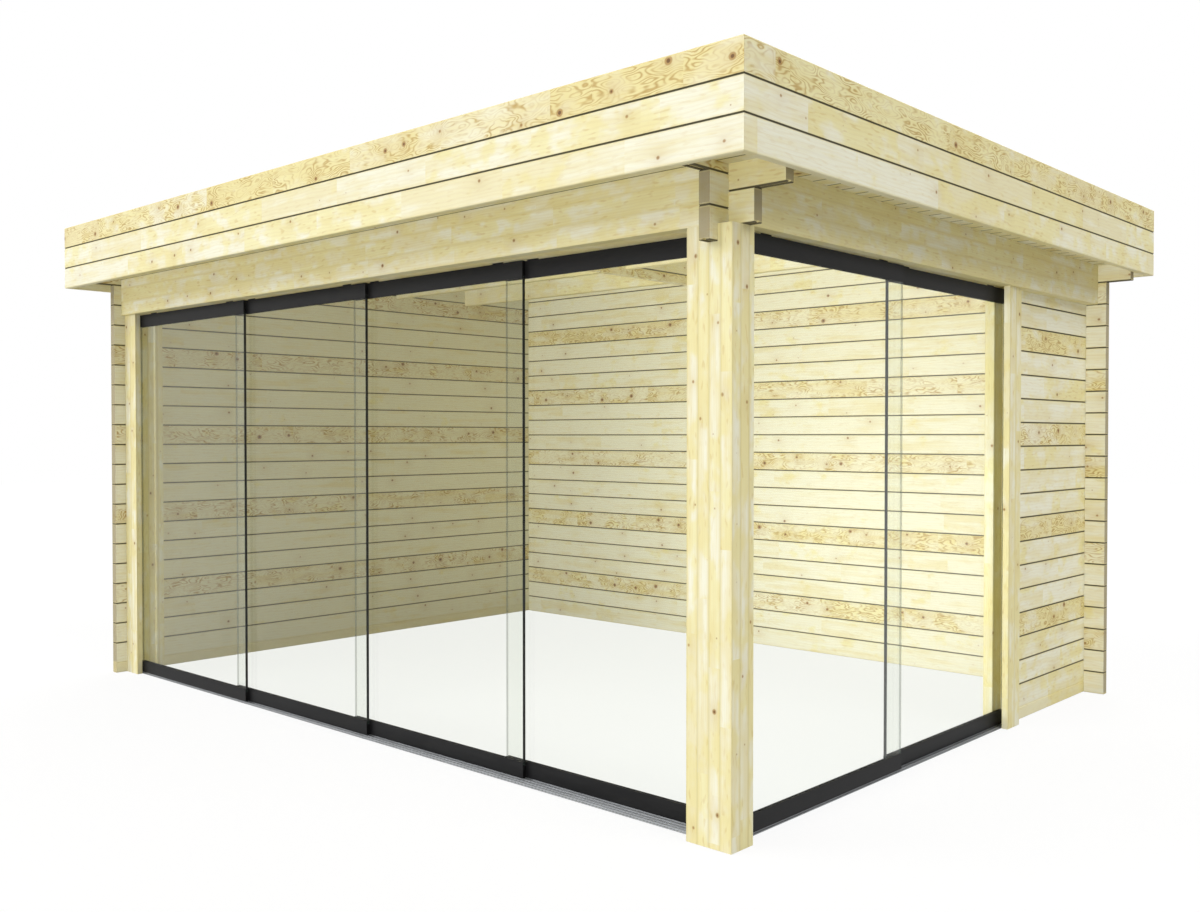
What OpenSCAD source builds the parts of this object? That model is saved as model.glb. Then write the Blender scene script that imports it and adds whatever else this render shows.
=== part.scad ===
// Flat-roofed log cabin with two sliding glass walls that meet at a corner post.
// Solid log walls stand at the left, along the back and at the rear of the right side.
// The parts are laid out from the outer corner of the corner post: X = 0 is the post's
// right face, Y = 0 its front face, Z = 0 the ground. The whole is then centred.

/* [Cabin] */
// left wall's outer face to the corner post's right face
cabin_w = 4366; // [3700:1:5400]
// corner post's front face to the back wall's outer face
cabin_d = 3272; // [2800:1:4200]
// corner post's front face to the front end of the short right wall
side_open = 2303; // [1900:1:2500]

/* [Logs] */
// height of one log course
log_h = 114; // [95:1:137]
// thickness of a wall log
log_t = 44; // [36:1:53]
// how far a log end runs past the log that it crosses
log_end = 102; // [80:1:125]
// bevel along each log's long edges
log_bevel = 3; // [1:0.5:4]
// width of the tongue on top of each log
tongue_w = 14; // [10:1:16]
// height of that tongue
tongue_h = 7; // [4:1:9]
// courses between the ground and the header beams
door_courses = 18; // [16:1:20]

/* [Headers and posts] */
// thickness of the outer header beams
beam_t = 60; // [50:1:72]
// corner post, along the front
post_w = 187; // [155:1:225]
// corner post, along the side
post_d = 121; // [118:1:145]
// width of the jamb posts at the closed ends of the glass
jamb_w = 128; // [106:1:154]
// thickness of the outer jamb posts
jamb_t = 28; // [22:1:34]
// thickness of the inner jamb posts
inner_jamb_t = 44; // [36:1:53]
// how far the outer jamb posts stand back from the corner post's faces
jamb_set = 20; // [10:1:26]
// thickness of the grooved head boards over the glass
head_t = 24; // [22:1:30]

/* [Roof] */
// roof edge in front of the corner post
over_front = 236; // [200:1:285]
// roof edge to the right of the corner post
over_right = 214; // [180:1:257]
// boards in the height of the roof edge
fascia_boards = 3; // [3:1:4]
// thickness of the roof edge boards
fascia_t = 28; // [20:1:34]
// thickness of the rim boards behind them
rim_t = 22; // [18:1:27]
// how far the roof edge hangs below the soffit
fascia_lip = 54; // [30:1:64]
// how far the header beams rise behind the soffit
beam_cover = 25; // [21:1:40]
// thickness of the soffit
soffit_t = 19; // [15:1:20]
// thickness of the roof deck
deck_t = 19; // [15:1:23]
// thickness of the roofing sheet
sheet_t = 3; // [2:0.5:4]
// height of the roof joists
joist_h = 135; // [112:1:160]
// joist rows between the front header and the back wall
joist_rows = 4; // [3:1:6]

/* [Sliding glass] */
// pane thickness
pane_t = 10; // [8:1:12]
// width of the rail profiles that hold a pane
profile_t = 15; // [14:0.5:17]
// distance between neighbouring tracks
track_pitch = 21; // [21:0.5:25]
// panels along the front
front_panels = 4; // [4:1:4]
// overlap of neighbouring front panels
front_lap = 120; // [100:1:144]
// overlap of the two side panels
side_lap = 83; // [70:1:100]
// how far the first front panel tucks behind its jamb post
front_tuck = 9; // [6:1:20]
// how far the rear side panel tucks behind its jamb post
side_tuck = 79; // [50:1:95]
// height of a panel's bottom profile
bottom_profile_h = 64; // [53:1:77]
// height of a panel's top profile
top_profile_h = 68; // [57:1:82]
// depth of the pane's seat in each profile
pane_seat = 14; // [10:1:16]
// radius of the running wheels
wheel_r = 12; // [10:0.5:14]
// height of the floor rails, ribs included
rail_h = 8; // [7:0.5:10]

/* [Hidden] */
fit = 0.3;          // gap between pieces that rest on each other
butt = 0.5;         // gap where two pieces meet end to end
run = 5.5;          // running gap beside a moving panel
profile_wall = 2.3; // wall of the aluminium profiles
profile_cap = 2;    // end cap of a profile
rail_base = 3;      // plate of the floor rails
rail_rib = 3;       // width of one floor rib
rail_edge = 10;     // plate beyond the outermost ribs
guide_w = 4;        // guide on top of a panel
guide_h = 17;       // its height above the profile
guide_l = 60;       // its length
groove_w = 8;       // groove that it runs in
groove_d = 18;      // depth of that groove
end_set = 150;      // wheels and guides from a panel's ends
pocket = 14;        // depth of a joist's seat in a log

head_z = door_courses * log_h;               // underside of the headers
top_c = door_courses + 3.5;                  // top of the walls, in courses
top_z = top_c * log_h;
soffit_z = head_z + 2 * log_h - beam_cover;
fascia_z = soffit_z - fascia_lip;
edge_t = fascia_t + rim_t + butt;            // roof edge's whole thickness
roof_x0 = -cabin_w - log_end - edge_t;       // roof edge's outer faces
roof_x1 = over_right;
roof_y0 = -over_front;
roof_y1 = cabin_d + log_end + edge_t;

side_x = -beam_t - log_t;                    // left face of the right wall's logs
left_x = -cabin_w;                           // outer face of the left wall
room_x = -cabin_w + log_t;                   // its inner face
back_y = cabin_d - log_t;                    // inner face of the back wall
front_y = beam_t;                            // outer face of the front header logs
log_x0 = left_x - log_end;                   // free ends of the logs
log_x1 = -beam_t + log_end;
log_y0 = beam_t - log_end;
log_y1 = cabin_d + log_end;
console_x = roof_x1 - edge_t;                // ends of the logs that carry the roof edge
console_y = roof_y0 + edge_t;

first_track = jamb_set + jamb_t + run + profile_t / 2;
function track(k) = first_track + (k - 1) * track_pitch;
inner_jamb = track(front_panels) + profile_t / 2 + run;
side_jamb = track(2) + profile_t / 2 + run;
head_in = jamb_set + jamb_t - 1;             // outer edge of the head boards
rebate_y = track(front_panels) - profile_t / 2 - run;
rebate_x = track(2) - track_pitch / 2 + profile_t / 2 - 1;

panel_z = rail_h + 2;                        // underside of the panels
panel_top = head_z - 5;
front_x1 = -rebate_x - 5;                    // right edge of the last front panel
front_x0 = room_x + jamb_w - front_tuck;     // left edge of the first
front_w = (front_x1 - front_x0 + (front_panels - 1) * front_lap) / front_panels;
side_y0 = max(post_d, track(front_panels) - run) + run;
side_y1 = side_open - jamb_w + side_tuck;
side_w = (side_y1 - side_y0 + side_lap) / 2;

mid_x = (room_x + side_x) / 2;               // middle log beam under the roof
mid_c = door_courses + 2;                    // its underside, in courses
joist_gap = (back_y - front_y - log_t) / (joist_rows + 1);
joist_y = [for (i = [1 : joist_rows]) front_y + log_t + i * joist_gap - log_t / 2];
joist_z = top_z - joist_h;

pine = [0.93, 0.90, 0.70];
pine_dark = [0.82, 0.79, 0.61];
black = [0.16, 0.16, 0.17];
grey = [0.62, 0.62, 0.64];
glass = [0.85, 0.90, 0.90, 0.35];
felt = [0.24, 0.25, 0.27];

// ---------- helpers ----------

// box between two corners
module box(a, b) {
    translate(a) cube(b - a);
}

// end view of a log: bevelled edges, groove below, tongue above
module log_section(h, groove, tongue) {
    b = log_bevel;
    top = h - fit;
    g = tongue_w / 2 + butt;
    t = tongue_w / 2;
    m = log_t / 2;
    polygon(concat(
        [[0, b], [b, 0]],
        groove ? [[m - g, 0], [m - g, tongue_h + butt], [m + g, tongue_h + butt], [m + g, 0]] : [],
        [[log_t - b, 0], [log_t, b], [log_t, top - b], [log_t - b, top]],
        tongue ? [[m + t, top], [m + t, top + tongue_h], [m - t, top + tongue_h], [m - t, top]] : [],
        [[b, top], [0, top - b]]
    ));
}

// cross lap: leaves only the middle half course around centre c
module lap(x, y, c, low = true) {
    s = log_t + 2 * fit;
    q = log_h / 4 - fit / 2;
    translate([x - fit, y - fit, 0]) {
        translate([0, 0, c * log_h + q]) cube([s, s, log_h]);
        if (low) translate([0, 0, c * log_h - q - log_h]) cube([s, s, log_h]);
    }
}

// log along X from course k0 to course k1
module log_x(x0, x1, y, k0, k1, laps) {
    difference() {
        translate([x0, y, k0 * log_h]) rotate([90, 0, 90]) linear_extrude(x1 - x0)
            log_section((k1 - k0) * log_h, k0 > 0, k1 < top_c);
        for (x = laps) lap(x, y, floor(k0) + 0.5);
    }
}

// log along Y, centred on course line c
module log_y(y0, y1, x, c, laps, low = true) {
    k0 = max(c - 0.5, 0);
    k1 = min(c + 0.5, top_c);
    difference() {
        translate([x, y1, k0 * log_h]) rotate([90, 0, 0]) linear_extrude(y1 - y0)
            log_section((k1 - k0) * log_h, k0 > 0, k1 < top_c);
        for (y = laps) lap(x, y, c, low);
    }
}

// courses of a side wall that cross the front header, up to the roof
module header_courses(x) {
    difference() {
        log_y(log_y0, log_y1, x, door_courses, [back_y]);
        lap(x, front_y, door_courses, false);
    }
    log_y(log_y0, log_y1, x, door_courses + 1, [front_y, back_y]);
    log_y(console_y, log_y1, x, door_courses + 2, [front_y, back_y]);
    log_y(front_y, cabin_d, x, door_courses + 3, [front_y, back_y]);
}

// seats of the joists in the log faces at x
module joist_seats(x) {
    for (y = joist_y)
        box([x - pocket - fit, y - fit, joist_z - fit], [x + pocket + fit, y + log_t + fit, top_z + 1]);
}

// seat of the middle log beam in the log faces at y
module middle_seat(y) {
    box([mid_x - log_t / 2 - fit, y - pocket - fit, mid_c * log_h - fit],
        [mid_x + log_t / 2 + fit, y + pocket + fit, top_z + 1]);
}

module place() {
    translate([-(roof_x0 + roof_x1) / 2, -(roof_y0 + roof_y1) / 2, 0]) children();
}

// ---------- log walls ----------

module left_wall_logs() {
    color(pine_dark) place() difference() {
        union() {
            for (c = [0 : door_courses - 1]) log_y(log_y0, log_y1, left_x, c, [back_y]);
            header_courses(left_x);
        }
        joist_seats(room_x);
    }
}

module back_wall_logs() {
    color(pine) place() difference() {
        for (k = [0 : floor(top_c)])
            log_x(
                k > door_courses + 1 ? left_x : log_x0,
                k > door_courses + 1 ? -beam_t : (k == door_courses + 1 ? console_x : log_x1),
                back_y, k, min(k + 1, top_c), [left_x, side_x]);
        middle_seat(back_y);
    }
}

module right_wall_logs() {
    color(pine_dark) place()
        for (c = [0 : door_courses - 1])
            log_y(side_open + butt, log_y1, side_x, c, [back_y]);
}

// ---------- posts ----------

module corner_post() {
    color(pine) place() difference() {
        box([-post_w, 0, 0], [0, post_d, head_z - fit]);
        // slot for the lower half of the side header's first log
        box([side_x - fit, -1, head_z - log_h / 2 - fit], [-beam_t + fit, post_d + 1, head_z + 1]);
        // rebate that the last front panel shuts into
        box([-post_w - 1, rebate_y, -1], [-rebate_x, post_d + 1, head_z + 1]);
    }
}

module left_jamb_posts() {
    color(pine) place()
        for (y = [[jamb_set, jamb_t], [inner_jamb, inner_jamb_t]])
            box([room_x + fit, y[0], 0], [room_x + jamb_w, y[0] + y[1], head_z - fit]);
}

module right_jamb_posts() {
    color(pine) place()
        for (x = [[jamb_set, jamb_t], [side_jamb, inner_jamb_t]])
            box([-x[0] - x[1], side_open - jamb_w, 0], [-x[0], side_open, head_z - fit]);
}

// ---------- headers over the glass ----------

module front_header_beam() {
    color(pine) place() difference() {
        box([room_x + fit, 0, head_z], [side_x - butt, beam_t - fit, head_z + 2 * log_h - fit]);
        box([room_x, head_in, head_z - 1], [-post_w, beam_t, head_z + head_t + fit]);
    }
}

module front_header_logs() {
    color(pine_dark) place() difference() {
        for (k = [door_courses : floor(top_c)])
            log_x(
                k > door_courses + 1 ? left_x : log_x0,
                k == door_courses ? log_x1 : (k == door_courses + 1 ? console_x : -beam_t),
                front_y, k, min(k + 1, top_c), [left_x, side_x]);
        // room for the head board
        box([room_x, front_y - 1, head_z - 1], [-post_w, front_y + log_t + 1, head_z + head_t + fit]);
        middle_seat(front_y + log_t);
    }
}

module front_head_board() {
    color(pine_dark) place() difference() {
        box([room_x + butt, head_in + fit, head_z],
            [-post_w - fit, inner_jamb + inner_jamb_t, head_z + head_t]);
        for (k = [1 : front_panels])
            box([room_x, track(k) - groove_w / 2, head_z - 1],
                [-post_w + 1, track(k) + groove_w / 2, head_z + groove_d]);
    }
}

module side_header_beam() {
    color(pine_dark) place() difference() {
        box([-beam_t + fit, front_y + log_t + butt, head_z],
            [0, back_y - butt, head_z + 2 * log_h - fit]);
        box([-beam_t - 1, post_d, head_z - 1], [-head_in, side_open, head_z + head_t + fit]);
    }
}

module side_header_logs() {
    color(pine_dark) place() difference() {
        header_courses(side_x);
        // the glass and its head board take the place of the first log's lower half
        box([side_x - 1, rebate_y, head_z - log_h / 2 - 1], [-beam_t + 1, side_open, head_z]);
        box([side_x - 1, post_d, head_z - 1], [-beam_t + 1, side_open, head_z + head_t + fit]);
        joist_seats(side_x);
    }
}

module side_head_board() {
    color(pine_dark) place() difference() {
        box([-side_jamb - inner_jamb_t, post_d + fit, head_z],
            [-head_in - fit, side_open - fit, head_z + head_t]);
        for (k = [1, 2])
            box([-track(k) - groove_w / 2, post_d, head_z - 1],
                [-track(k) + groove_w / 2, side_open, head_z + groove_d]);
    }
}

// ---------- roof ----------

module middle_roof_logs() {
    y0 = front_y + log_t - pocket;
    y1 = back_y + pocket;
    color(pine_dark) place() difference() {
        for (k = [[mid_c, mid_c + 0.5], [mid_c + 0.5, top_c]])
            translate([mid_x - log_t / 2, y1, k[0] * log_h]) rotate([90, 0, 0]) linear_extrude(y1 - y0)
                log_section((k[1] - k[0]) * log_h, k[0] > mid_c, k[1] < top_c);
        joist_seats(mid_x - log_t / 2);
        joist_seats(mid_x + log_t / 2);
    }
}

module roof_joists() {
    bays = [[room_x - pocket, mid_x - log_t / 2 + pocket],
            [mid_x + log_t / 2 - pocket, side_x + pocket]];
    color(pine) place()
        for (y = joist_y, b = bays)
            box([b[0], y, joist_z], [b[1], y + log_t, top_z - fit]);
}

module roof_rim_boards() {
    f = fascia_t + fit;
    z0 = soffit_z + soffit_t + fit;
    z1 = top_z - fit;
    color(pine_dark) place() {
        for (y = [roof_y0 + f, roof_y1 - f - rim_t])
            box([roof_x0 + f, y, z0], [roof_x1 - f, y + rim_t, z1]);
        for (x = [roof_x0 + f, roof_x1 - f - rim_t])
            box([x, roof_y0 + f + rim_t + butt, z0], [x + rim_t, roof_y1 - f - rim_t - butt, z1]);
    }
}

module soffit() {
    f = fascia_t + fit;
    z0 = soffit_z;
    z1 = soffit_z + soffit_t;
    c = 1;
    color(pine_dark) place() difference() {
        union() {
            box([roof_x0 + f, roof_y0 + f, z0], [roof_x1 - f, -butt, z1]);
            box([roof_x0 + f, cabin_d + butt, z0], [roof_x1 - f, roof_y1 - f, z1]);
            box([roof_x0 + f, 0, z0], [left_x - butt, cabin_d, z1]);
            box([butt, 0, z0], [roof_x1 - f, cabin_d, z1]);
            box([-beam_t + butt, 0, z0], [0, front_y - butt, z1]);
        }
        // the crossing log ends pass through
        for (y = [front_y, back_y])
            box([roof_x0, y - c, z0 - 1], [roof_x1, y + log_t + c, z1 + 1]);
        for (x = [left_x, side_x])
            box([x - c, roof_y0 + f + rim_t, z0 - 1], [x + log_t + c, -butt + 1, z1 + 1]);
        for (x = [left_x, side_x])
            box([x - c, cabin_d - 1, z0 - 1], [x + log_t + c, log_y1 + c, z1 + 1]);
    }
}

// board of the roof edge along X: outer face at y = 0, mitred ends
module fascia_board(l, t) {
    b = log_bevel;
    h = log_h - fit;
    intersection() {
        rotate([90, 0, 90]) linear_extrude(l)
            polygon([[b, 0], [t, 0], [t, h], [b, h], [0, h - b], [0, b]]);
        linear_extrude(h) polygon([[fit, 0], [l - fit, 0], [l - t - fit, t], [t + fit, t]]);
    }
}

module fascia_side(l) {
    for (i = [0 : fascia_boards - 1])
        translate([0, 0, fascia_z + i * log_h]) fascia_board(l, fascia_t);
}

module fascia_front() {
    color(pine) place() translate([roof_x0, roof_y0, 0]) fascia_side(roof_x1 - roof_x0);
}

module fascia_right() {
    color(pine_dark) place() translate([roof_x1, roof_y0, 0]) rotate([0, 0, 90])
        fascia_side(roof_y1 - roof_y0);
}

module fascia_back() {
    color(pine) place() translate([roof_x1, roof_y1, 0]) rotate([0, 0, 180])
        fascia_side(roof_x1 - roof_x0);
}

module fascia_left() {
    color(pine_dark) place() translate([roof_x0, roof_y1, 0]) rotate([0, 0, -90])
        fascia_side(roof_y1 - roof_y0);
}

module roof_deck() {
    f = fascia_t + fit;
    color(pine) place()
        box([roof_x0 + f, roof_y0 + f, top_z], [roof_x1 - f, roof_y1 - f, top_z + deck_t]);
}

module roofing_sheet() {
    f = fascia_t + fit;
    z = top_z + deck_t + fit;
    up = fascia_z + fascia_boards * log_h - 8;
    color(felt) place() difference() {
        box([roof_x0 + f, roof_y0 + f, z], [roof_x1 - f, roof_y1 - f, up]);
        box([roof_x0 + f + sheet_t, roof_y0 + f + sheet_t, z + sheet_t],
            [roof_x1 - f - sheet_t, roof_y1 - f - sheet_t, up + 1]);
    }
}

// ---------- floor rails ----------

module front_floor_rail() {
    x1 = -post_w - butt;
    color(grey) place() {
        box([room_x + butt, track(1) - rail_edge, 0], [x1, track(front_panels) + rail_edge - 1, rail_base]);
        // the last track runs on behind the corner post
        box([x1 - 1, rebate_y + 1, 0], [-rebate_x - 2, track(front_panels) + rail_edge - 1, rail_base]);
        for (k = [1 : front_panels])
            box([room_x + butt, track(k) - rail_rib / 2, 0],
                [k < front_panels ? x1 : -rebate_x - 2, track(k) + rail_rib / 2, rail_h]);
    }
}

module side_floor_rail() {
    y0 = max(track(front_panels) + rail_edge, post_d + fit);
    y1 = side_open;
    color(grey) place() {
        box([-track(2) - rail_edge, y0, 0], [-track(1) + rail_edge, y1, rail_base]);
        // the outer track starts at the corner post
        box([-track(1) - rail_edge + 1, post_d + fit, 0], [-track(1) + rail_edge, y0 + 1, rail_base]);
        for (k = [1, 2])
            box([-track(k) - rail_rib / 2, k == 1 ? post_d + fit : y0, 0],
                [-track(k) + rail_rib / 2, y1, rail_h]);
    }
}

// ---------- sliding panels ----------

// sets a panel that is drawn along X into the front or the side opening
module front_panel(k) {
    place() translate([front_x0 + (k - 1) * (front_w - front_lap), track(k), 0]) children();
}

module side_panel(k) {
    place() translate([-track(k), side_y0 + (k - 1) * (side_w - side_lap), 0])
        rotate([0, 0, 90]) children();
}

module pane(w) {
    color(glass)
        box([0, -pane_t / 2, panel_z + bottom_profile_h - pane_seat + fit],
            [w, pane_t / 2, panel_top - top_profile_h + pane_seat - fit]);
}

module profiles(w) {
    p = profile_t / 2;
    in = p - profile_wall;
    seat = pane_t / 2 + 0.2;
    z0 = panel_z;
    z1 = panel_z + bottom_profile_h;
    z2 = panel_top - top_profile_h;
    web = 3;
    color(black) {
        difference() {
            box([0, -p, z0], [w, p, z1]);
            box([-1, -seat, z1 - pane_seat], [w + 1, seat, z1 + 1]);
            box([profile_cap, -in, z0 - 1], [w - profile_cap, in, z1 - pane_seat - web]);
        }
        difference() {
            box([0, -p, z2], [w, p, panel_top]);
            box([-1, -seat, z2 - 1], [w + 1, seat, z2 + pane_seat]);
            box([profile_cap, -in, z2 + pane_seat + web], [end_set - guide_l / 2, in, panel_top + 1]);
            box([end_set + guide_l / 2, -in, z2 + pane_seat + web],
                [w - end_set - guide_l / 2, in, panel_top + 1]);
            box([w - end_set + guide_l / 2, -in, z2 + pane_seat + web], [w - profile_cap, in, panel_top + 1]);
        }
        for (x = [end_set, w - end_set])
            box([x - guide_l / 2, -guide_w / 2, panel_top - 1],
                [x + guide_l / 2, guide_w / 2, panel_top + guide_h]);
    }
}

module wheels(w) {
    axle = profile_t - 2 * profile_wall - 2 * 0.2;
    color(grey)
        for (x = [end_set, w - end_set])
            translate([x, 0, rail_h + fit + wheel_r]) rotate([90, 0, 0]) {
                cylinder(h = 6, r = wheel_r, center = true, $fn = 48);
                cylinder(h = axle, r = 3, center = true, $fn = 24);
            }
}

// ---------- assembly ----------

left_wall_logs();
back_wall_logs();
right_wall_logs();
corner_post();
left_jamb_posts();
right_jamb_posts();
front_header_beam();
front_header_logs();
front_head_board();
side_header_beam();
side_header_logs();
side_head_board();
middle_roof_logs();
roof_joists();
roof_rim_boards();
soffit();
fascia_front();
fascia_right();
fascia_back();
fascia_left();
roof_deck();
roofing_sheet();
front_floor_rail();
side_floor_rail();
front_panel(1) pane(front_w);  // front_pane_1
front_panel(1) profiles(front_w);  // front_profiles_1
front_panel(1) wheels(front_w);  // front_wheels_1
front_panel(2) pane(front_w);  // front_pane_2
front_panel(2) profiles(front_w);  // front_profiles_2
front_panel(2) wheels(front_w);  // front_wheels_2
front_panel(3) pane(front_w);  // front_pane_3
front_panel(3) profiles(front_w);  // front_profiles_3
front_panel(3) wheels(front_w);  // front_wheels_3
front_panel(4) pane(front_w);  // front_pane_4
front_panel(4) profiles(front_w);  // front_profiles_4
front_panel(4) wheels(front_w);  // front_wheels_4
side_panel(1) pane(side_w);  // side_pane_1
side_panel(1) profiles(side_w);  // side_profiles_1
side_panel(1) wheels(side_w);  // side_wheels_1
side_panel(2) pane(side_w);  // side_pane_2
side_panel(2) profiles(side_w);  // side_profiles_2
side_panel(2) wheels(side_w);  // side_wheels_2
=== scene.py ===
"""Log cabin with sliding glass walls: the finish of every part, and the small pieces on them."""

import math

import bpy
import numpy as np
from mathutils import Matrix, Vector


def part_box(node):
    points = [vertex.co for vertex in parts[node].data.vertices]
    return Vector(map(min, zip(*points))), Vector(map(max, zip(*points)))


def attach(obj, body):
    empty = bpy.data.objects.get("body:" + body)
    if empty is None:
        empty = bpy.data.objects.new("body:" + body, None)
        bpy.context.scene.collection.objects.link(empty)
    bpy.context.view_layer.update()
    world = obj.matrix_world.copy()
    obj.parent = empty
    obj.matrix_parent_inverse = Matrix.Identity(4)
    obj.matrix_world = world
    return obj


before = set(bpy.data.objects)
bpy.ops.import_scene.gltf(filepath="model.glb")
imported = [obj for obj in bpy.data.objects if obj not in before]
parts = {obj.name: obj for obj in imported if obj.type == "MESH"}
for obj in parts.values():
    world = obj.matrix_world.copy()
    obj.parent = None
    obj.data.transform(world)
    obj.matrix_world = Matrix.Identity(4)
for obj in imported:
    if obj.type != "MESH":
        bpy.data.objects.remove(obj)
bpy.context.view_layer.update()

# ------------------------------------------------------------------ log walls
# Planed spruce logs on edge, one on another by a tongue, half lapped where they cross. Each
# is finger-jointed from short lengths, so its tone jumps every half metre or so. The side
# walls' logs lie half a log higher than the front and back ones.
log_height = 0.114
length_joint = 0.58
knot_pitch = 0.21
ring_pitch = 0.0034
fibre_pitch = 0.0022
seam_half = 0.0045


def paint(red, green, blue):
    """A colour from its three 0-255 screen values: each goes through the screen's own curve."""
    c = np.array([red, green, blue]) / 255
    return (*np.where(c <= 0.04045, c / 12.92, ((c + 0.055) / 1.055) ** 2.4).tolist(), 1.0)


cream, whitish, honey = paint(243, 237, 189), paint(246, 245, 228), paint(232, 217, 150)
ring_brown, knot_brown, knot_core = paint(186, 150, 78), paint(170, 126, 64), paint(100, 66, 36)
# the end tone is end grain's own darker colour, and partly painted shade
fleck_amber, end_grain_and_shade, seam_shade = paint(208, 178, 104), paint(142, 135, 106), paint(76, 71, 53)


class Wire:
    """One output of a material's node tree. Python's operators on wires add its Math nodes."""

    def __init__(self, tree, socket):
        self.tree, self.socket = tree, socket

    def node(self, kind, sockets=(), out=0, **settings):
        """Adds a node of this kind: its settings first, then its sockets' values or links."""
        made = self.tree.nodes.new(kind)
        for name, value in settings.items():
            setattr(made, name, value)
        for key, value in dict(sockets).items():
            if isinstance(value, Wire):
                self.tree.links.new(value.socket, made.inputs[key])
            else:
                made.inputs[key].default_value = value
        return Wire(self.tree, made.outputs[out])

    def calc(self, operation, *terms):
        """A Math node on numbers and wires, in their order."""
        return self.node("ShaderNodeMath", enumerate(terms), operation=operation)

    def __add__(self, other):
        return self.calc("ADD", self, other)

    def __sub__(self, other):
        return self.calc("SUBTRACT", self, other)

    def __rsub__(self, other):
        return self.calc("SUBTRACT", other, self)

    def __mul__(self, other):
        return self.calc("MULTIPLY", self, other)

    def __truediv__(self, other):
        return self.calc("DIVIDE", self, other)

    def __pow__(self, other):
        return self.calc("POWER", self, other)

    __radd__, __rmul__ = __add__, __mul__

    def whole(self):
        """The whole number below."""
        return self.calc("FLOOR", self)

    def fraction(self):
        """What is over the whole number below."""
        return self.calc("FRACT", self)

    def size(self):
        """The number without its sign."""
        return self.calc("ABSOLUTE", self)

    def root(self):
        """The square root."""
        return self.calc("SQRT", self)

    def held(self, low, high):
        """The number, held between low and high."""
        return self.calc("MAXIMUM", self.calc("MINIMUM", self, high), low)

    def rise(self, low, high):
        """0 at low and 1 at high, with a smooth step between."""
        return self.node(
            "ShaderNodeMapRange", {0: self, 1: low, 2: high}, interpolation_type="SMOOTHSTEP"
        )

    def axes(self):
        """The three parts of a vector or colour."""
        first = self.node("ShaderNodeSeparateXYZ", {0: self})
        return [Wire(self.tree, first.socket.node.outputs[i]) for i in range(3)]

    def vector(self, x, y, z):
        """A vector of these three numbers or wires."""
        return self.node("ShaderNodeCombineXYZ", {0: x, 1: y, 2: z})

    def noise(self, x, y, z, detail=1.0, roughness=0.5):
        """Smooth noise from 0 to 1, of one period for each unit of x, y and z."""
        return self.node(
            "ShaderNodeTexNoise",
            {"Vector": self.vector(x, y, z), "Scale": 1.0, "Detail": detail, "Roughness": roughness},
        )

    def chances(self, x, y, z):
        """Three even random numbers for each whole x, y and z."""
        return self.node("ShaderNodeTexWhiteNoise", {0: self.vector(x, y, z)}, out=1).axes()

    def tint(self, share, to):
        """This colour, with the colour to mixed in by share."""
        return self.node("ShaderNodeMix", {0: share, 6: self, 7: to}, out=2, data_type="RGBA")


def finish_of(name, **constants):
    """A new material, its shader with these constant sockets, and its Object place and normal."""
    made = bpy.data.materials.new(name)
    made.use_nodes = True
    tree = made.node_tree
    shader = tree.nodes["Principled BSDF"]
    for socket, value in constants.items():
        shader.inputs[socket.replace("_", " ")].default_value = value
    where = tree.nodes.new("ShaderNodeTexCoord")
    return made, shader, Wire(tree, where.outputs["Object"]), Wire(tree, where.outputs["Normal"])


def feed(shader, colour=None, roughness=None, height=None, depth=0.001, strength=0.5):
    """Links a colour, a roughness and a height in depth metres to the shader."""
    for wire, socket in ((colour, "Base Color"), (roughness, "Roughness")):
        if wire is not None:
            wire.tree.links.new(wire.socket, shader.inputs[socket])
    if height is not None:
        bump = height.node("ShaderNodeBump", {"Strength": strength, "Distance": depth, "Height": height})
        bump.tree.links.new(bump.socket, shader.inputs["Normal"])


def wear(finish, *names):
    """Gives CAD parts this finish on every face."""
    for name in names:
        slots = parts[name].data.materials
        if not slots:
            slots.append(finish)
        for i in range(len(slots)):
            slots[i] = finish


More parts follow.
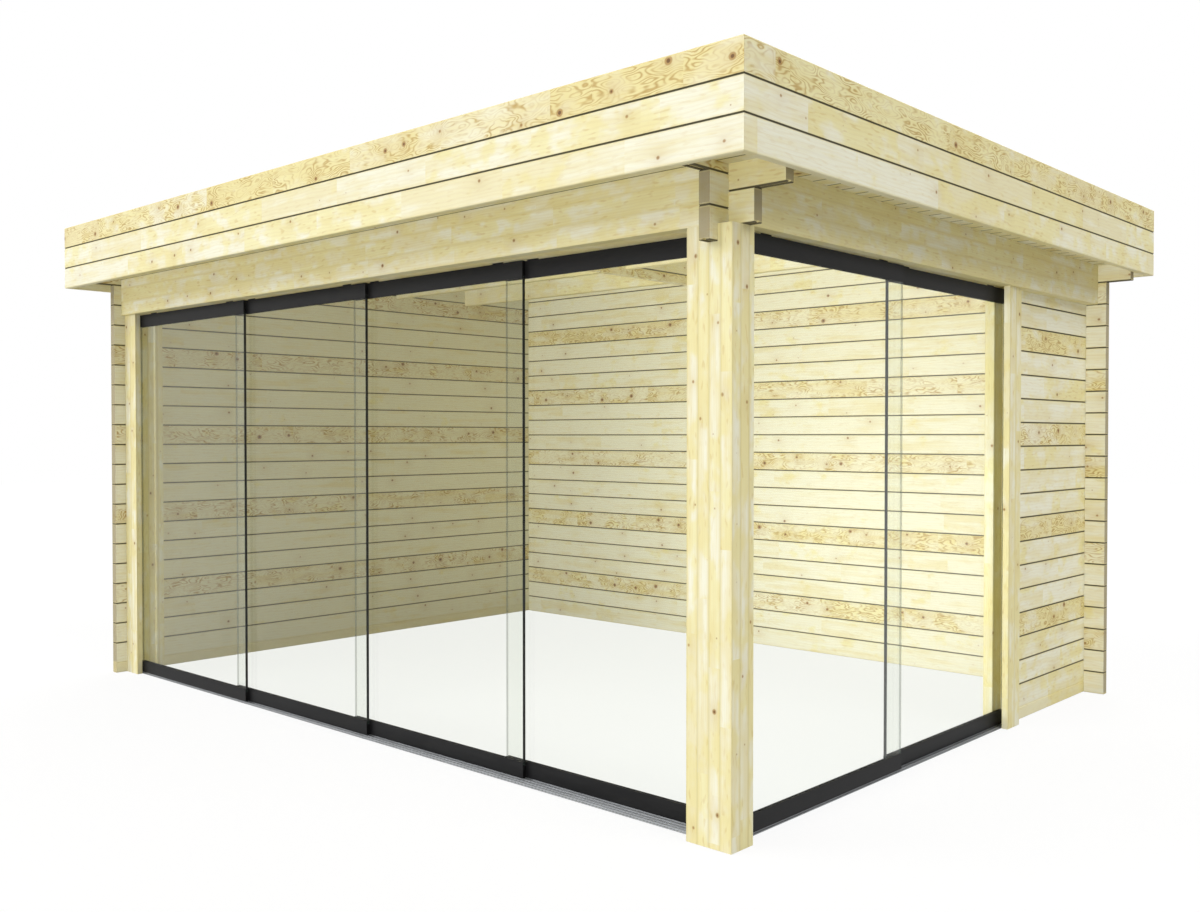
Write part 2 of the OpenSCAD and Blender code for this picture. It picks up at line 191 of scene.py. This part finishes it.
def spruce(name, lay, board, start=0.0, rows=100, seed=0, flamed=(4, 2), seams=1.0, jumps=0.16,
           pallor=0.0):
    """Planed spruce. Boards are board high from start; every flamed[0]th from flamed[1] has a wild
    figure, jumps is how far the tone differs from one finger-jointed length to the next, and pallor
    widens the white clouds. The growth rings are the even steps of a slope that slow noise bends and
    that swells at each knot, so that they close into flames and go round the knots."""
    made, shader, place, facing = finish_of(name, Specular_IOR_Level=0.28)
    x, y, z = place.axes()
    along, across, through = {
        "front": lambda: (x, z, y),
        "side": lambda: (y, z, x),
        "upright": lambda: (z, x + y, x - y),
        "flat": lambda: (x, y, z),
        "ceiling": lambda: (y, x, z),
    }[lay]()
    level = ((across - start) / board).held(0.0, rows - 0.001)
    row = level.whole()
    up = level - row
    shift, bent, lean = place.chances(row, seed, 3.0)
    piece = (along / length_joint + shift * 9).whole()
    tone, patchy, other = place.chances(row, piece, seed + 7.0)
    wild = 1.0 - ((row + (flamed[0] - flamed[1])) / flamed[0]).fraction().rise(0.02, 0.03)

    # knots: one in some of the stretches, round through the board
    stretch = along / knot_pitch + bent * 5
    slot = stretch.whole()
    knot_at, knot_up, knot_size = place.chances(slot, row, seed + 31.0)
    off_along = (stretch - slot - 0.2 - knot_at * 0.6) * knot_pitch
    off_up = (up - 0.14 - knot_up * 0.72) * board
    from_knot = (off_along * off_along + off_up * off_up * 1.3).root()
    radius = (knot_size - 0.52 + wild * 0.3).rise(0.0, 0.7) * (0.0070 + other * 0.0045 + wild * 0.0035)
    knot = (from_knot - radius).rise(0.0035, -0.0015) * radius.rise(0.0, 0.0012)
    core = (from_knot - radius * 0.5).rise(0.0022, -0.0015) * radius.rise(0.0035, 0.008)
    swell = from_knot.calc("EXPONENT", from_knot * -30.0) * radius.rise(0.0, 0.006)

    # growth rings, the paler and warmer clouds of the wood, and short resin flecks
    bend = place.noise(
        along * (4.2 + wild * 4.4) + shift * 40, across * (15.0 + wild * 11),
        through * 9 + tone * 5, 1.0, 0.45,
    )
    slope = up * (7.0 - wild * 3.0) + bend * (2.2 + wild * 7.0) + swell * (1.2 + wild * 1.6) + tone * 3
    ring = (slope.calc("SINE", slope * math.tau) * 0.5 + 0.5) ** 2.4
    fibre = place.noise(along * 14, across / fibre_pitch, through / fibre_pitch, 0.0)
    cloud = place.noise(along * 7.5 + tone * 60, across * 11 + row * 3.7, through * 5, 2.5, 0.6)
    streak = place.noise(along * 2.6 + other * 50, across * 24, through * 14 + row, 1.5, 0.55)
    fleck = place.noise(along * 24 + row * 5.3, across * 95, through * 40, 0.0).rise(0.62, 0.78)

    pale = (cloud * (1 - jumps) + patchy * jumps - wild * 0.07 + pallor).rise(0.43, 0.57)
    warm = streak * (0.8 - jumps) - cloud * 0.3 + (0.35 - pallor * 0.8) + tone * jumps + wild * 0.06
    warm = warm.rise(0.45, 0.68)
    colour = place.node("ShaderNodeRGB")
    colour.socket.default_value = cream
    colour = colour.tint(pale * 0.85, whitish).tint(warm * 0.5 + wild * 0.18, honey)
    strong = (cloud * -1.0 + 1.0).rise(0.42, 0.62)
    colour = colour.tint(ring * (0.08 + wild * (0.12 + strong * 0.7)), ring_brown)
    colour = colour.tint(fleck * (0.36 - pale * 0.22), fleck_amber)
    colour = colour.tint(swell * (0.3 + wild * 0.1), ring_brown)
    colour = colour.tint((fibre - 0.5) * 0.4 + 0.08, honey)
    colour = colour.tint(knot * 0.75, knot_brown).tint(core * 0.85, knot_core)

    # sawn ends show the rings edge on, round a heart outside the log; their tone is end grain's own darker
    # colour, darkened further as painted shade
    end_on = {"front": 0, "side": 1, "upright": 2, "flat": 0, "ceiling": 1}[lay]
    end = facing.axes()[end_on].size().rise(0.7, 0.9)
    heart_up, heart_in = (up + 0.5) * board, through + lean * 0.08
    heart = (heart_up * heart_up + heart_in * heart_in).root()
    turns = heart.calc("SINE", heart * (math.tau / ring_pitch) + bend * 5)
    colour = colour.tint(end * 0.8, end_grain_and_shade).tint(end * (turns * 0.18 + 0.16), ring_brown)

    # the V between two boards gathers shade; the outermost edges have none
    edge = (0.5 - (up - 0.5).size()) * board
    inner = level.rise(0.3, 0.5) * level.rise(rows - 0.3, rows - 0.5)
    seam = edge.rise(seam_half, seam_half * 0.6) * inner * seams
    colour = colour.tint(edge.rise(0.011, 0.003) * 0.4, honey).tint(seam * 0.93, seam_shade)
    dull = ring * -0.08 + fibre * 0.16 + 0.58 + seam * 0.15
    feed(shader, colour, dull, fibre, 0.0005, 0.4)
    return made


# The logs of the walls inside the room get more pallor. This paler, less warm tone is painted and stands in
# for the grey cast of the shade in the room. The left wall wears a paler copy of the side logs for it.
side_logs = spruce("spruce_logs_side", "side", log_height, log_height / 2, 21, 11, (4, 3), pallor=0.07)
long_logs = spruce("spruce_logs_long", "front", log_height, 0.0, 22, 23, (4, 2), pallor=0.15)
pale_room_shade_logs = spruce("spruce_logs_pale_room_shade", "side", log_height, log_height / 2, 21, 11, (4, 3), pallor=0.22)
wear(side_logs, "right_wall_logs", "side_header_logs", "middle_roof_logs")
wear(pale_room_shade_logs, "left_wall_logs")
wear(long_logs, "back_wall_logs")
plain_logs = spruce("spruce_logs_header", "front", log_height, 0.0, 22, 29, (97, 50))
wear(plain_logs, "front_header_logs")

# -------------------------------------------------------------- posts and jambs
# The corner post is glued up from upright laminations; so are the jamb posts, in two widths.
# Laminations are counted round the post's outer corner, so they run on from face to face.
post_low, post_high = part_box("corner_post")
post_lamination = (post_high.x - post_low.x) / 4
jamb_lamination = 0.064

post_glued = spruce(
    "spruce_post", "upright", post_lamination, post_high.x + post_low.y - 40 * post_lamination,
    200, 41, (97, 5), seams=0.10, jumps=0.1,
)
jamb_glued = spruce(
    "spruce_jambs", "upright", jamb_lamination, -12.0, 400, 53, (97, 5), seams=0.10, jumps=0.1
)
wear(post_glued, "corner_post")
wear(jamb_glued, "left_jamb_posts", "right_jamb_posts")

# a planed board between each pair of jamb posts closes the slot behind the panels' ends
closer_board, closer_ease, closer_fit = 0.020, 0.0015, 0.0005
closer_gap = 0.008
outer_jamb, inner_jamb = 0.028, 0.044


def upright(name, outline, low, high):
    """A closed prism: the outline's points, in order round it, at height low and again at high."""
    ring = np.array(outline, float)
    n = len(ring)
    points = np.vstack([np.c_[ring, np.full(n, low)], np.c_[ring, np.full(n, high)]])
    here = np.arange(n)
    sides = np.c_[here, (here + 1) % n, (here + 1) % n + n, here + n].tolist()
    mesh = bpy.data.meshes.new(name)
    mesh.from_pydata(points.tolist(), [], [*sides, here[::-1].tolist(), (here + n).tolist()])
    made = bpy.data.objects.new(name, mesh)
    bpy.context.scene.collection.objects.link(made)
    return made


def eased(low_x, low_y, high_x, high_y, ease):
    """A rectangle with its four corners cut off at 45 degrees, anticlockwise from above."""
    return [
        (low_x + ease, low_y), (high_x - ease, low_y), (high_x, low_y + ease), (high_x, high_y - ease),
        (high_x - ease, high_y), (low_x + ease, high_y), (low_x, high_y - ease), (low_x, low_y + ease),
    ]


left_low, left_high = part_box("left_jamb_posts")
right_low, right_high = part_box("right_jamb_posts")
left_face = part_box("front_profiles_1")[0].x - closer_gap
right_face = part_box("side_profiles_2")[1].y + closer_gap
closers = {
    "left_jamb_closer": (
        left_face - closer_board, left_low.y + outer_jamb + closer_fit,
        left_face, left_high.y - inner_jamb - closer_fit,
    ),
    "right_jamb_closer": (
        right_low.x + inner_jamb + closer_fit, right_face,
        right_high.x - outer_jamb - closer_fit, right_face + closer_board,
    ),
}
rail_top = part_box("front_floor_rail")[1].z
for name, sides in closers.items():
    board = upright(name, eased(*sides, closer_ease), rail_top + closer_fit, left_high.z)
    board.data.materials.append(jamb_glued)
    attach(board, "cabin")

# ------------------------------------------------------------------ header beams
# Outer beams over the glass, glued from three lying lamellas and laid on the posts, and
# under each a spruce board grooved for the guides on the panels' tops.
beam_low, beam_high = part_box("front_header_beam")
lamella = (beam_high.z - beam_low.z) / 3

front_glued = spruce(
    "spruce_beam_front", "front", lamella, beam_low.z, 3, 61, (7, 6), seams=0.04, jumps=0.1
)
side_glued = spruce(
    "spruce_beam_side", "side", lamella, beam_low.z, 3, 67, (7, 6), seams=0.04, jumps=0.1
)
wear(front_glued, "front_header_beam", "front_head_board")
wear(side_glued, "side_header_beam", "side_head_board")

# ------------------------------------------------------------------------- roof
# Joists and rim of sawn spruce, and boards nailed under the eaves and over the room.
# The eaves' boards run left to right, the room's from front to back.
eaves_board = 0.096
deck_board = 0.112
joist_low, joist_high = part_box("roof_joists")

joist_sawn = spruce(
    "spruce_joists", "front", joist_high.z - joist_low.z, joist_low.z, 1, 71, (9, 8), seams=0.0
)
eaves_sawn = spruce("spruce_eaves", "flat", eaves_board, -4.0, 200, 73, (23, 5), seams=0.9)
deck_sawn = spruce("spruce_deck", "ceiling", deck_board, -4.0, 200, 79, (23, 5), seams=0.9)
wear(joist_sawn, "roof_joists", "roof_rim_boards")
wear(eaves_sawn, "soffit")
wear(deck_sawn, "roof_deck")

# -------------------------------------------------------------------- roof edge
# Three planed boards one over another on each side, mitred at the corners. The top
# board is the one with the wild, flamed figure.
fascia_low, fascia_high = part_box("fascia_front")
fascia_rows = 3
fascia_board = (fascia_high.z - fascia_low.z) / fascia_rows

edge_long = spruce(
    "spruce_edge_long", "front", fascia_board, fascia_low.z, fascia_rows, 83, (3, 2), jumps=0.25, pallor=0.04
)
edge_side = spruce(
    "spruce_edge_side", "side", fascia_board, fascia_low.z, fascia_rows, 89, (3, 2), jumps=0.25, pallor=0.04
)
wear(edge_long, "fascia_front", "fascia_back")
wear(edge_side, "fascia_right", "fascia_left")

# ------------------------------------------------------------------ roofing sheet
# One black rubber sheet, turned up behind the roof edge, with a faint rolled grain,
# dust in its low places and lapped seams across it.
sheet_width = 1.4

rubber, shader, place, _ = finish_of("roofing_rubber", Specular_IOR_Level=0.35)
x, y, z = place.axes()
dust = place.noise(x * 1.7, y * 1.7, z * 1.7, 4.0, 0.6).rise(0.42, 0.68)
grit = place.noise(x * 380, y * 380, z * 380, 2.0, 0.6)
lap = ((x / sheet_width).fraction() - 0.5) * sheet_width
lap_edge = lap.size().rise(0.006, 0.002)
lap_step = lap.rise(-0.001, 0.001)
black = place.node("ShaderNodeRGB")
black.socket.default_value = paint(52, 53, 55)
black = black.tint(dust * 0.35, paint(96, 95, 90)).tint(lap_edge * 0.5, paint(26, 26, 27))
feed(shader, black, dust * 0.14 + 0.62, grit * 0.3 + lap_step * 1.5, 0.0015, 0.5)
wear(rubber, "roofing_sheet")

# -------------------------------------------------------------------- floor rails
# Extruded aluminium, anodised grey, one rib for each panel; the drawing of the die
# leaves fine lines along it.
for way, name in (("x", "front_floor_rail"), ("y", "side_floor_rail")):
    grey, shader, place, _ = finish_of(f"grey_rail_{way}", Metallic=0.85)
    x, y, z = place.axes()
    along, across = (x, y) if way == "x" else (y, x)
    drawn = place.noise(along * 3, across * 2600, z * 2600, 2.0, 0.6)
    stain = place.noise(along * 7, across * 30, z * 30, 3.0, 0.6)
    tone = place.node("ShaderNodeRGB")
    tone.socket.default_value = paint(158, 160, 162)
    tone = tone.tint(stain.rise(0.4, 0.7) * 0.3, paint(134, 135, 136))
    tone = tone.tint(drawn * 0.1, paint(190, 191, 192))
    feed(shader, tone, stain * 0.12 + drawn * 0.06 + 0.34, drawn, 0.0001, 0.2)
    wear(grey, name)

# ----------------------------------------------------------------- panel profiles
# Black powder-coated aluminium along the top and bottom of each pane, with the coat's
# fine orange peel and a little dust on the upward faces.
coat, shader, place, facing = finish_of("black_powder_coat", Specular_IOR_Level=0.15)
x, y, z = place.axes()
peel = place.noise(x * 420, y * 420, z * 420, 2.0, 0.5)
cloud = place.noise(x * 5, y * 5, z * 30, 3.0, 0.6)
upward = facing.axes()[2].rise(0.5, 0.9)
tone = place.node("ShaderNodeRGB")
tone.socket.default_value = paint(19, 19, 20)
tone = tone.tint(cloud.rise(0.35, 0.7) * 0.3, paint(42, 42, 42))
tone = tone.tint(upward * cloud * 0.3, paint(110, 108, 102))
feed(shader, tone, cloud * 0.16 + 0.42, peel, 0.0003, 0.3)
panels = [f"front_panel_{k}" for k in range(1, 5)] + [f"side_panel_{k}" for k in range(1, 3)]
wear(coat, *[p.replace("panel", "profiles") for p in panels])

# -------------------------------------------------------------------------- panes
# Toughened clear glass, 10 mm: almost all light goes straight through, and a little
# mirrors, more at a slant. The ground and polished edges look dark green.
edge_green = paint(58, 70, 64)

for across, names in ((1, [f"front_pane_{k}" for k in range(1, 5)]), (0, ["side_pane_1", "side_pane_2"])):
    pane_glass, shader, place, facing = finish_of("clear_pane_" + "xy"[across], Roughness=0.03)
    tree = pane_glass.node_tree
    x, y, z = place.axes()
    edge = facing.axes()[across].size().rise(0.6, 0.4)
    ripple = place.noise(x * 40, y * 40, z * 6, 1.0, 0.5)
    tone = place.node("ShaderNodeRGB")
    tone.socket.default_value = paint(250, 252, 251)
    feed(shader, tone.tint(edge, edge_green).tint(edge * ripple * 0.3, paint(90, 112, 102)))
    tree.links.new((1.0 - edge).socket, shader.inputs["Metallic"])
    slant = place.node("ShaderNodeLayerWeight", {"Blend": 0.5}, out=1)
    shown = (slant ** 5.0 * 0.8 + 0.02 + edge * 0.4).held(0.0, 1.0)
    clear = place.node("ShaderNodeBsdfTransparent", {"Color": paint(251, 252, 250)})
    mixed = place.node("ShaderNodeMixShader", {0: shown, 1: clear, 2: Wire(tree, shader.outputs[0])})
    tree.links.new(mixed.socket, tree.nodes["Material Output"].inputs["Surface"])
    wear(pane_glass, *names)

# --------------------------------------------------------------------- edge seals
# A black rubber channel is pushed on the upright edge of each pane where it laps the
# next one, between the top and bottom profiles.
seal_wall = 0.0009
seal_cover = 0.0015
seal_slack = 0.0002
bottom_profile, top_profile = 0.0645, 0.0855

seal_rubber, shader, place, _ = finish_of("seal_rubber", Specular_IOR_Level=0.3)
x, y, z = place.axes()
mottle = place.noise(x * 90, y * 90, z * 9, 3.0, 0.6)
tone = place.node("ShaderNodeRGB")
tone.socket.default_value = paint(30, 31, 31)
tone = tone.tint(mottle * 0.3, paint(58, 59, 58))
feed(shader, tone, mottle * 0.2 + 0.5, mottle, 0.0002, 0.3)


def channel(edge, into, middle, half, cover, wall):
    """A U round a pane's edge: edge is its place along the pane, into the way to the pane's middle
    and cover how far the legs reach that way. Its points go round anticlockwise if into is 1."""
    out, leg = edge - into * wall, edge + into * cover
    side = half + wall
    return [
        (out, middle - side), (leg, middle - side), (leg, middle - half), (edge, middle - half),
        (edge, middle + half), (leg, middle + half), (leg, middle + side), (out, middle + side),
    ]


for body in panels:
    low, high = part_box(body.replace("panel", "pane"))
    bars_low, bars_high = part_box(body.replace("panel", "profiles"))
    front = body.startswith("front")
    run, side = (0, 1) if front else (1, 0)
    middle, half = (low[side] + high[side]) / 2, (high[side] - low[side]) / 2 + seal_slack
    bottom, top = bars_low.z + bottom_profile, bars_high.z - top_profile
    end, into = (high[run], -1) if front else (low[run], 1)
    outline = channel(end, into, middle, half, seal_cover, seal_wall)
    if not front:
        outline = [(b, a) for a, b in outline]
    seal = upright(f"{body}_seal", outline[::-1], bottom, top)
    seal.data.materials.append(seal_rubber)
    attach(seal, body)

# ------------------------------------------------------------------------- wheels
# Turned nylon wheels on pins inside the bottom profiles. They carry the panels along the
# floor rails' ribs and are hidden in use.
nylon, shader, place, _ = finish_of("wheel_nylon", Specular_IOR_Level=0.4)
x, y, z = place.axes()
swirl = place.noise(x * 300, y * 300, z * 300, 2.0, 0.5)
tone = place.node("ShaderNodeRGB")
tone.socket.default_value = paint(206, 204, 196)
feed(shader, tone.tint(swirl * 0.3, paint(178, 175, 166)), swirl * 0.2 + 0.4, swirl, 0.0002, 0.3)
wear(nylon, *[p.replace("panel", "wheels") for p in panels])

# ------------------------------------------------------------------- floor, light
# A pale studio floor that stays white to the eye and keeps a soft shadow; an even
# white room of light, and broad lamps from the front left and the right.
floor_reach = 30.0
floor_white, floor_glow = 0.72, 1.215
room_light = 0.47
lamps = {  # power, width, way round and height in degrees, and whether things shade it
    "front_left_lamp": (1.55, 45, -38, 32, True),
    "right_lamp": (1.3, 40, 92, 42, True),
    "front_fill": (0.79, 20, -14, 6, False),
    "back_lamp": (0.9, 50, 205, 40, True),
}
room_lamp_power = 21.0
room_lamp_size = (2.4, 1.9)

mesh = bpy.data.meshes.new("studio_floor")
corners = np.array([[-1, -1], [1, -1], [1, 1], [-1, 1]]) * floor_reach
mesh.from_pydata(np.c_[corners, np.full(4, -0.001)].tolist(), [], [[0, 1, 2, 3]])
floor = bpy.data.objects.new("studio_floor", mesh)
bpy.context.scene.collection.objects.link(floor)


def seen_directly(tree):
    """1 for rays from the eye, a mirror or glass, and 0 for light that spreads."""
    path = tree.nodes.new("ShaderNodeLightPath")
    eye, mirror, through = (
        Wire(tree, path.outputs[f"Is {ray} Ray"]) for ray in ("Camera", "Glossy", "Transmission")
    )
    return eye.calc("MAXIMUM", eye.calc("MAXIMUM", eye, mirror), through)


paper, shader, place, _ = finish_of("studio_paper", Roughness=0.9, Specular_IOR_Level=0.1)
shader.inputs["Base Color"].default_value = (0.42, 0.42, 0.42, 1)
tree = paper.node_tree
white = place.node("ShaderNodeEmission", {"Color": (1, 1, 1, 1), "Strength": floor_glow})
seen = seen_directly(tree) * floor_white
mixed = place.node("ShaderNodeMixShader", {0: seen, 1: Wire(tree, shader.outputs[0]), 2: white})
tree.links.new(mixed.socket, tree.nodes["Material Output"].inputs["Surface"])
mesh.materials.append(paper)

world = bpy.data.worlds.new("studio_room")
bpy.context.scene.world = world
world.use_nodes = True
tree = world.node_tree
strength = seen_directly(tree) * (1 - room_light) + room_light
tree.nodes["Background"].inputs["Color"].default_value = (1, 1, 1, 1)
tree.links.new(strength.socket, tree.nodes["Background"].inputs["Strength"])

for name, (power, width, way, height, shades) in lamps.items():
    lamp = bpy.data.objects.new(name, bpy.data.lights.new(name, "SUN"))
    lamp.data.energy = power
    lamp.data.angle = math.radians(width)
    lamp.data.use_shadow = shades
    lamp.rotation_euler = (math.radians(90 - height), 0, math.radians(way))
    bpy.context.scene.collection.objects.link(lamp)

# an unseen panel of light behind the front glass brightens the back wall
room_lamp = bpy.data.objects.new("room_lamp", bpy.data.lights.new("room_lamp", "AREA"))
room_lamp.data.shape = "RECTANGLE"
room_lamp.data.size, room_lamp.data.size_y = room_lamp_size
room_lamp.data.energy = room_lamp_power
room_lamp.data.spread = math.radians(104)
room_lamp.location = (post_low.x - 1.15, post_high.y + 0.24, 1.05)
room_lamp.rotation_euler = (math.radians(90), 0, 0)
room_lamp.visible_camera = room_lamp.visible_glossy = room_lamp.visible_transmission = False
bpy.context.scene.collection.objects.link(room_lamp)

# ------------------------------------------------------------------------- camera
# At eye height off the glazed corner, so that the front, the glass side and the roof's
# edge all show.
camera = bpy.data.objects.new("camera", bpy.data.cameras.new("camera"))
camera.data.sensor_width = 36.0
camera.data.lens = 34.88
camera.location = (4.38722, -4.64044, 1.36059)
camera.rotation_euler = (math.radians(89.01), 0, math.radians(42.748))
bpy.context.scene.collection.objects.link(camera)
bpy.context.scene.camera = camera
bpy.context.scene.view_settings.view_transform = "Standard"
